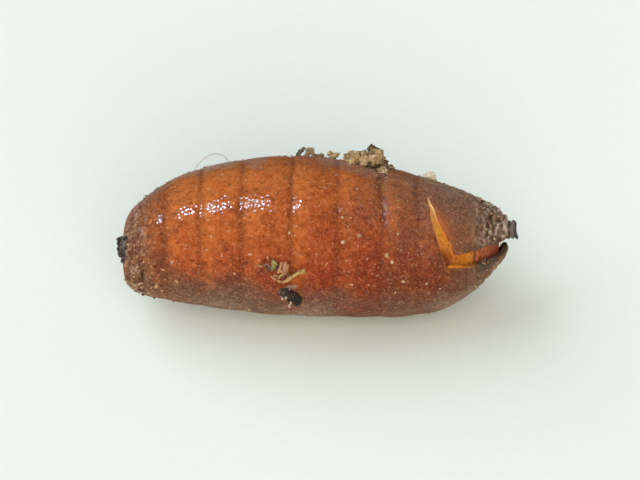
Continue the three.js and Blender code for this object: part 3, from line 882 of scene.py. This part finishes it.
flake = [(*strand(FLAKE_ROUTE, FLAKE_WIDTH, FLAKE_THICKNESS, 54, taper=0.6), FLAKE_SHADE)]
flake += lumps_on_skin(FLAKE_CRUMBS, SOIL_CRAG)
flake += grains_over(random.Random(5), flake, FLAKE_GRAINS, *FINE_GRAIN_SIZES)
crust = finish("grey_soil_crust", soil, FLAKE_STOPS)
dirt_piece("soil_flake_and_crumb", flake, crust, "soil_flake")

# The soil crumb: a small tan crumb on the back between the flake and the clump, a short foot with two knobs
# on top. It is the same sandy soil as the clump.
CRUMB_LOBES = [
    (61, (0.26, 87, 0.02), (0.12, 0.15, 0.15), 0.65),
    (62, (0.2, 88, 0.09), (0.1, 0.12, 0.1), 0.7),
    (63, (0.33, 86, 0.08), (0.12, 0.11, 0.08), 0.75),
]
CRUMB_GRAINS = 90
crumb = lumps_on_skin(CRUMB_LOBES, SOIL_CRAG)
crumb += grains_over(random.Random(6), crumb, CRUMB_GRAINS, *FINE_GRAIN_SIZES)
dirt_piece("soil_crumb_grains", crumb, finish("sandy_crumb", soil, SOIL_STOPS), "soil_crumb")

# The pale grain: one cream grain of quartz sand, worn round and stuck on the back near the crack, with a
# little dried soil round its foot.
PALE_GRAIN = (74, (2.22, 86, 0.05), (0.25, 0.22, 0.2), 0.86)
SAND_STOPS = [
    (0.0, (0.1, 0.075, 0.05)), (0.35, (0.36, 0.26, 0.15)),
    (0.7, (0.62, 0.52, 0.36)), (1.0, (0.78, 0.7, 0.54)),
]
PALE_CRUMBS = [
    (72, (2.16, 84, -0.01), (0.2, 0.16, 0.07), 0.35),
    (73, (2.3, 85, 0.0), (0.14, 0.14, 0.07), 0.45),
]
pale = lumps_on_skin([PALE_GRAIN], crag=0.34) + lumps_on_skin(PALE_CRUMBS)
quartz = finish("quartz_sand", soil, SAND_STOPS, 0.5)
dirt_piece("pale_grain_of_sand", pale, quartz, "pale_grain")

# The plant shred: a bent straw-coloured stalk with a folded green sliver, thin grey fibres and a few
# upright flakes of bark, all dry and glued to the flank by mud. Each strand is its route along, around and
# out of the skin, its width, its thickness and its shade.
STALK_STRANDS = [
    ([(-0.75, -34.6, 0.05), (-0.63, -31.2, 0.09), (-0.5, -27.2, 0.11)], 0.062, 0.06, 0.74),
    ([(-0.56, -28.9, 0.1), (-0.43, -25.6, 0.12), (-0.3, -22.5, 0.14)], 0.076, 0.07, 0.68),
    ([(-0.42, -26.7, 0.08), (-0.35, -26.3, 0.06), (-0.3, -26.1, 0.02)], 0.05, 0.05, 0.56),
    ([(-0.98, -30.2, 0.03), (-0.9, -32, 0.05), (-0.82, -33.4, 0.06), (-0.7, -34.4, 0.06)],
     0.04, 0.035, 0.74),
    ([(-0.95, -25.2, 0.03), (-0.93, -21.5, 0.1), (-0.93, -17.3, 0.07)], 0.085, 0.04, 0.36),
    ([(-0.95, -20, 0.06), (-0.9, -18.2, 0.11), (-0.86, -20.8, 0.07)], 0.05, 0.04, 0.44),
    ([(-0.92, -29.6, 0.04), (-0.88, -29.2, 0.07), (-0.84, -29.8, 0.05)], 0.045, 0.035, 0.84),
    ([(-0.835, -27.8, 0.04), (-0.8, -23.4, 0.1), (-0.76, -18.6, 0.07)], 0.06, 0.025, 0.86),
    ([(-0.7, -28.6, 0.04), (-0.71, -23.5, 0.11), (-0.68, -18.4, 0.08)], 0.07, 0.03, 0.92),
    ([(-0.8, -24.2, 0.06), (-0.75, -25.2, 0.13), (-0.68, -27.4, 0.07)], 0.05, 0.025, 0.88),
    ([(-0.66, -27, 0.04), (-0.65, -23, 0.08), (-0.64, -20.4, 0.05)], 0.04, 0.02, 0.8),
    ([(-0.83, -32.4, 0.03), (-0.8, -29.6, 0.07), (-0.76, -27.8, 0.08), (-0.73, -29.6, 0.05)],
     0.04, 0.03, 0.72),
    ([(-0.86, -26, 0.03), (-0.84, -23, 0.06), (-0.85, -20, 0.03)], 0.04, 0.03, 0.0),
    ([(-0.76, -32, 0.03), (-0.72, -28.5, 0.06), (-0.73, -25, 0.04)], 0.04, 0.03, 0.02),
    ([(-0.66, -30.8, 0.03), (-0.62, -29.4, 0.05), (-0.6, -27.6, 0.03)], 0.03, 0.03, 0.1),
    ([(-1.23, -22, 0.03), (-1.18, -22.2, 0.06), (-1.14, -22.8, 0.04)], 0.035, 0.03, 0.8),
    ([(-1.12, -23, 0.03), (-1.07, -20.6, 0.07), (-1.01, -21, 0.07), (-0.98, -24.4, 0.04)],
     0.035, 0.03, 0.16),
    ([(-1.09, -24.5, 0.03), (-1.08, -25.6, 0.05), (-1.06, -27.4, 0.02)], 0.03, 0.03, 0.2),
    ([(-1.06, -22.8, 0.03), (-1.02, -24, 0.06), (-0.96, -26, 0.04)], 0.03, 0.025, 0.05),
]
PLANT_STOPS = [
    (0.0, (0.06, 0.05, 0.04)), (0.14, (0.2, 0.16, 0.125)), (0.3, (0.22, 0.19, 0.05)),
    (0.45, (0.32, 0.27, 0.08)), (0.7, (0.45, 0.28, 0.09)), (0.9, (0.44, 0.2, 0.105)),
]
PLANT_SHADOW = (0.07, 0.04, 0.02)


def dry_plant(place):
    fibres = place.speckle(24.0)
    shade = mark(place, "shade") + (fibres - 0.5) * 0.08
    colour = place.node("ValToRGB", {"stops": PLANT_STOPS}, {"Fac": shade})
    colour = (fibres.ramp(0.48, 0.66) * 0.75).mix(colour, PLANT_SHADOW)
    return {"Base Color": colour, "Roughness": 0.55 + fibres * 0.3, "Normal": fibres.bump(0.7, 0.012)}


shred = [
    (*strand(route, width, thickness, seed, taper=0.3), shade)
    for seed, (route, width, thickness, shade) in enumerate(STALK_STRANDS, 80)
]
dirt_piece("dry_plant_shred", shred, finish("dry_plant", dry_plant), "plant_shred")

# The dark grain: a blackish lump of humus under the shred with a dull shine, and four pale crystals of sand
# pressed into its lower side.
DARK_LOBES = [
    (91, (-0.72, -42.4, 0.01), (0.2, 0.12, 0.1), 0.24),
    (92, (-0.65, -45, 0.04), (0.24, 0.22, 0.16), 0.16),
    (93, (-0.54, -48.6, 0.05), (0.26, 0.26, 0.19), 0.1),
    (94, (-0.46, -52.4, 0.03), (0.21, 0.24, 0.16), 0.13),
    (95, (-0.46, -39.5, -0.02), (0.36, 0.15, 0.06), 0.5),
    (96, (-0.58, -55.5, -0.01), (0.22, 0.15, 0.08), 0.42),
]
DARK_CRYSTALS = [
    (-0.745, -48.3, 0.08, 0.15), (-0.675, -45.8, 0.14, 0.11),
    (-0.585, -50.2, 0.16, 0.12), (-0.61, -56.8, 0.08, 0.14),
]
CRYSTAL_SHADE, DARK_GRAINS, DARK_GRAIN_SIZES = 0.72, 130, (0.018, 0.06)
DARK_STOPS = [
    (0.0, (0.018, 0.014, 0.014)), (0.22, (0.05, 0.037, 0.034)), (0.36, (0.13, 0.08, 0.055)),
    (0.5, (0.26, 0.15, 0.1)), (1.0, (0.74, 0.68, 0.52)),
]
dark = lumps_on_skin(DARK_LOBES, crag=0.42)
dark_draw = random.Random(9)
dark += grains_over(dark_draw, dark[:4], DARK_GRAINS, *DARK_GRAIN_SIZES)
for along, degrees, lift, size in DARK_CRYSTALS:
    crystal, crystal_faces = grain(dark_draw, (size * 0.5, size * 1.1, size * 0.4), corners=10)
    dark.append((on_skin(crystal, along, degrees, lift), crystal_faces, CRYSTAL_SHADE))
humus = finish("humus", soil, DARK_STOPS, 0.7)
dirt_piece("dark_grain_of_humus", dark, humus, "dark_grain")

# The fibre: one thin grey hair bowed over the back near the tail. It is stuck by dust at both ends and
# springs clear of the skin between them.
FIBRE_ROUTE = [
    (-2.54, 90, 0.0), (-2.46, 90, 0.1), (-2.3, 90, 0.2),
    (-2.12, 90, 0.22), (-1.95, 90, 0.14), (-1.84, 90, 0.0),
]
FIBRE_WIDTH = 0.02
HAIR_DARK, HAIR_PALE = (0.42, 0.38, 0.37), (0.6, 0.56, 0.55)


def grey_hair(place):
    grey = place.speckle(12.0)
    return {"Base Color": grey.mix(HAIR_DARK, HAIR_PALE), "Roughness": 0.35 + grey * 0.3}


hair = [(*strand(FIBRE_ROUTE, FIBRE_WIDTH, FIBRE_WIDTH, 95, taper=0.4, sides=10, steps=70), 0.5)]
dirt_piece("hair_fibre", hair, finish("grey_hair", grey_hair), "fibre")

# The dust: specks of sand and dried mud that cling to the skin all over, thickest at the two ends and below
# the soil clump. Each is a broken grain half sunk in the grime on the skin. A patch is its place along and
# around, its spread each way and its count, and a crumb is its place, its size and its shade.
DUST_SPECKS = 620
DUST_PATCHES = [
    (1.2, 68, 0.2, 9, 130), (3.35, 50, 0.22, 40, 120), (3.3, 110, 0.25, 40, 60),
    (-3.75, -20, 0.16, 60, 110), (-3.6, 200, 0.2, 60, 80), (-3.4, -60, 0.3, 25, 70),
    (3.3, -55, 0.25, 25, 60), (-0.2, 88, 0.6, 6, 40), (-2.9, 88, 0.5, 8, 50),
    (-3.25, 84, 0.2, 14, 70), (2.9, 88, 0.4, 6, 70),
]
SPECK_SMALLEST, SPECK_LARGEST, SPECK_LIFT, FLOOR_CLEARANCE = 0.022, 0.075, 0.008, 0.06
SPECK_SHADES = [0.06, 0.15, 0.25, 0.4, 0.5, 0.6, 0.7, 0.8]
DUST_STOPS = [
    (0.0, (0.04, 0.025, 0.018)), (0.25, (0.16, 0.085, 0.05)),
    (0.6, (0.42, 0.255, 0.135)), (1.0, (0.7, 0.53, 0.34)),
]
DUST_CRUMBS = [
    (-1.39, -14, 0.1, 0.81), (-0.61, 2, 0.08, 0.77), (0.44, 15, 0.09, 0.77), (0.79, 3, 0.11, 0.51),
    (0.46, -3, 0.1, 0.77), (1.33, -10, 0.1, 0.55), (1.43, -15, 0.1, 0.81), (1.54, 7, 0.08, 0.72),
    (0.63, -35, 0.09, 0.85), (1.66, -31, 0.09, 0.68), (1.49, -41, 0.06, 0.85), (-1.92, -25, 0.08, 0.68),
    (-2.87, -42, 0.13, 0.72), (-3.13, -27, 0.1, 0.72), (-3.29, -51, 0.1, 0.59), (-0.87, 42, 0.09, 0.72),
    (-1.17, 58, 0.08, 0.77), (-0.06, -13, 0.08, 0.77), (-1.7, -30, 0.07, 0.72), (-2.26, -10, 0.08, 0.77),
    (-2.95, -21, 0.08, 0.72), (-2.08, -68, 0.11, 0.51), (-1.82, -73, 0.1, 0.51), (-3.66, -24, 0.13, 0.64),
    (-3.93, -88, 0.13, 0.72), (-3.58, -90, 0.11, 0.09), (-3.35, -89, 0.11, 0.09), (-2.93, -88, 0.1, 0.17),
    (2.12, -33, 0.08, 0.77), (2.38, -40, 0.08, 0.81), (3.15, 41, 0.07, 0.68), (3.31, 17, 0.09, 0.64),
    (3.43, 47, 0.1, 0.68), (3.6, 48, 0.1, 0.59), (2.95, -51, 0.1, 0.68), (3.43, 86, 0.12, 0.59),
    (3.58, 84, 0.12, 0.59), (3.49, 0, 0.08, 0.72), (-3.5, 90, 0.1, 0.13), (-3.28, 90, 0.09, 0.26),
    (2.9, 86, 0.09, 0.68), (3.02, 84, 0.09, 0.59), (2.7, 88, 0.08, 0.64), (2.5, 89, 0.07, 0.17),
]


def in_tear(along, degrees):
    """Whether a place lies over the open tear, where nothing can stick."""
    beyond = along - seam_along(degrees)
    near = LIP - LIP_SAG - 3 < around_from(degrees, 0) < HINGE and beyond > -0.03
    return near and (degrees < CAP + 2 or beyond < np.interp(degrees, *zip(*SLIT_GAP)) + 0.06)


def speck(draw, along, degrees, size, shade):
    shape = size * np.array([draw.uniform(0.8, 1.3), draw.uniform(0.6, 1.0), 0.55])
    points, faces = grain(draw, shape, corners=9)
    spin = Matrix.Rotation(draw.uniform(0, math.tau), 3, "Z")
    return on_skin(points @ np.array(spin), along, degrees, SPECK_LIFT), faces, shade


def dust():
    draw = random.Random(10)
    places = [(draw.uniform(TAIL + 0.1, TIP - 0.1), draw.uniform(-180, 180)) for _ in range(DUST_SPECKS)]
    for along, degrees, length, width, count in DUST_PATCHES:
        places += [(draw.gauss(along, length), draw.gauss(degrees, width)) for _ in range(count)]
    made = [speck(draw, *crumb_place) for crumb_place in DUST_CRUMBS]
    for along, degrees in places:
        size = SPECK_SMALLEST * (SPECK_LARGEST / SPECK_SMALLEST) ** (draw.random() ** 2)
        shade = draw.choice(SPECK_SHADES)
        clear_of_floor = skin_point(along, degrees)[2] > FLOOR_CLEARANCE * MM
        if TAIL + 0.06 < along < TIP - 0.08 and clear_of_floor and not in_tear(along, degrees):
            made.append(speck(draw, along, degrees, size, shade))
    return made


dirt_piece("skin_dust", dust(), finish("skin_dust", soil, DUST_STOPS, 0.3), None)

# The stage: a plain pale sheet under soft light. The window, the room and the light thrown back by the sheet
# are broad and make no gloss, nor does the sheet, or the whole skin would shine. Two small panes make the
# sparkles on the skin and nothing else.
FLOOR_HALF, FLOOR_DROP = 0.3, 1e-6
FLOOR_COOL, FLOOR_WARM = (0.81, 0.89, 0.82), (0.85, 0.93, 0.86)


def pale_sheet(place):
    return {"Base Color": place.speckle(6.0).mix(FLOOR_COOL, FLOOR_WARM), "Roughness": 0.7}


floor_corners = [(-1, -1), (1, -1), (1, 1), (-1, 1)]
floor_corners = [(x * FLOOR_HALF, y * FLOOR_HALF, -FLOOR_DROP) for x, y in floor_corners]
floor = piece_from("floor", floor_corners, [[0, 1, 2, 3]], [finish("pale_sheet", pale_sheet)])
floor.visible_glossy = False

# Each light is its name, the way towards it, its strength, its width in degrees and its tint.
BROAD_LIGHTS = [
    ("window", (-0.78, 0.28, 0.54), 1.93, 75, (0.95, 1.03, 1.15)),
    ("room", (0.0, -0.88, 0.47), 1.8, 80, (1.0, 0.9, 0.76)),
    ("bounce", (0.1, -0.97, 0.22), 1.35, 60, (1.0, 0.92, 0.78)),
]
PANES = [
    ("left_pane", (-0.52, 0.08, 0.85), 0.5, 3.6, (0.8, 1.0, 1.25)),
    ("right_pane", (-0.3, 0.06, 0.95), 0.5, 3.6, (0.8, 1.0, 1.25)),
]
WORLD_STRENGTH = 0.36


def sun(name, toward, strength, width, tint):
    light = bpy.data.lights.new(name, "SUN")
    light.energy = strength
    light.angle = math.radians(width)
    light.color = tint
    lamp = bpy.data.objects.new(name, light)
    lamp.rotation_euler = Vector(toward).to_track_quat("Z", "Y").to_euler()
    bpy.context.scene.collection.objects.link(lamp)
    return lamp


for broad_light in BROAD_LIGHTS:
    sun(*broad_light).visible_glossy = False
for pane in PANES:
    sun(*pane).visible_diffuse = False
world = bpy.data.worlds.new("pale_room")
world.use_nodes = True
background = world.node_tree.nodes["Background"]
background.inputs["Color"].default_value = (1, 1, 1, 1)
background.inputs["Strength"].default_value = WORLD_STRENGTH
world.cycles_visibility.glossy = False
bpy.context.scene.world = world
bpy.context.scene.view_settings.view_transform = "Standard"

# The camera looks straight at the flank. It stands far off, so the picture is nearly flat, and the shell's
# axis lies a little above the middle row of the picture.
PHOTO_WIDTH, PHOTO_MIDDLE_ROW, AXIS_ROW = 640, 240, 237
MM_PER_PIXEL = 0.0202
CAMERA_DISTANCE, SENSOR, CLIP_START = 90.0, 36.0, 0.001
IMAGE_CENTRE_UP = (AXIS_ROW - PHOTO_MIDDLE_ROW) * MM_PER_PIXEL
camera_data = bpy.data.cameras.new("camera")
camera_data.sensor_width = SENSOR
camera_data.lens = SENSOR * CAMERA_DISTANCE / (PHOTO_WIDTH * MM_PER_PIXEL)
camera_data.clip_start = CLIP_START
camera = bpy.data.objects.new("camera", camera_data)
bpy.context.scene.collection.objects.link(camera)
target = Vector(from_flank(0.0, 0.0, IMAGE_CENTRE_UP))
toward_camera = Vector(from_flank(0.0, 1.0, 0.0)) - Vector(from_flank(0.0, 0.0, 0.0))
camera.location = target + toward_camera.normalized() * CAMERA_DISTANCE * MM
camera.rotation_euler = toward_camera.to_track_quat("Z", "Y").to_euler()
bpy.context.scene.camera = camera
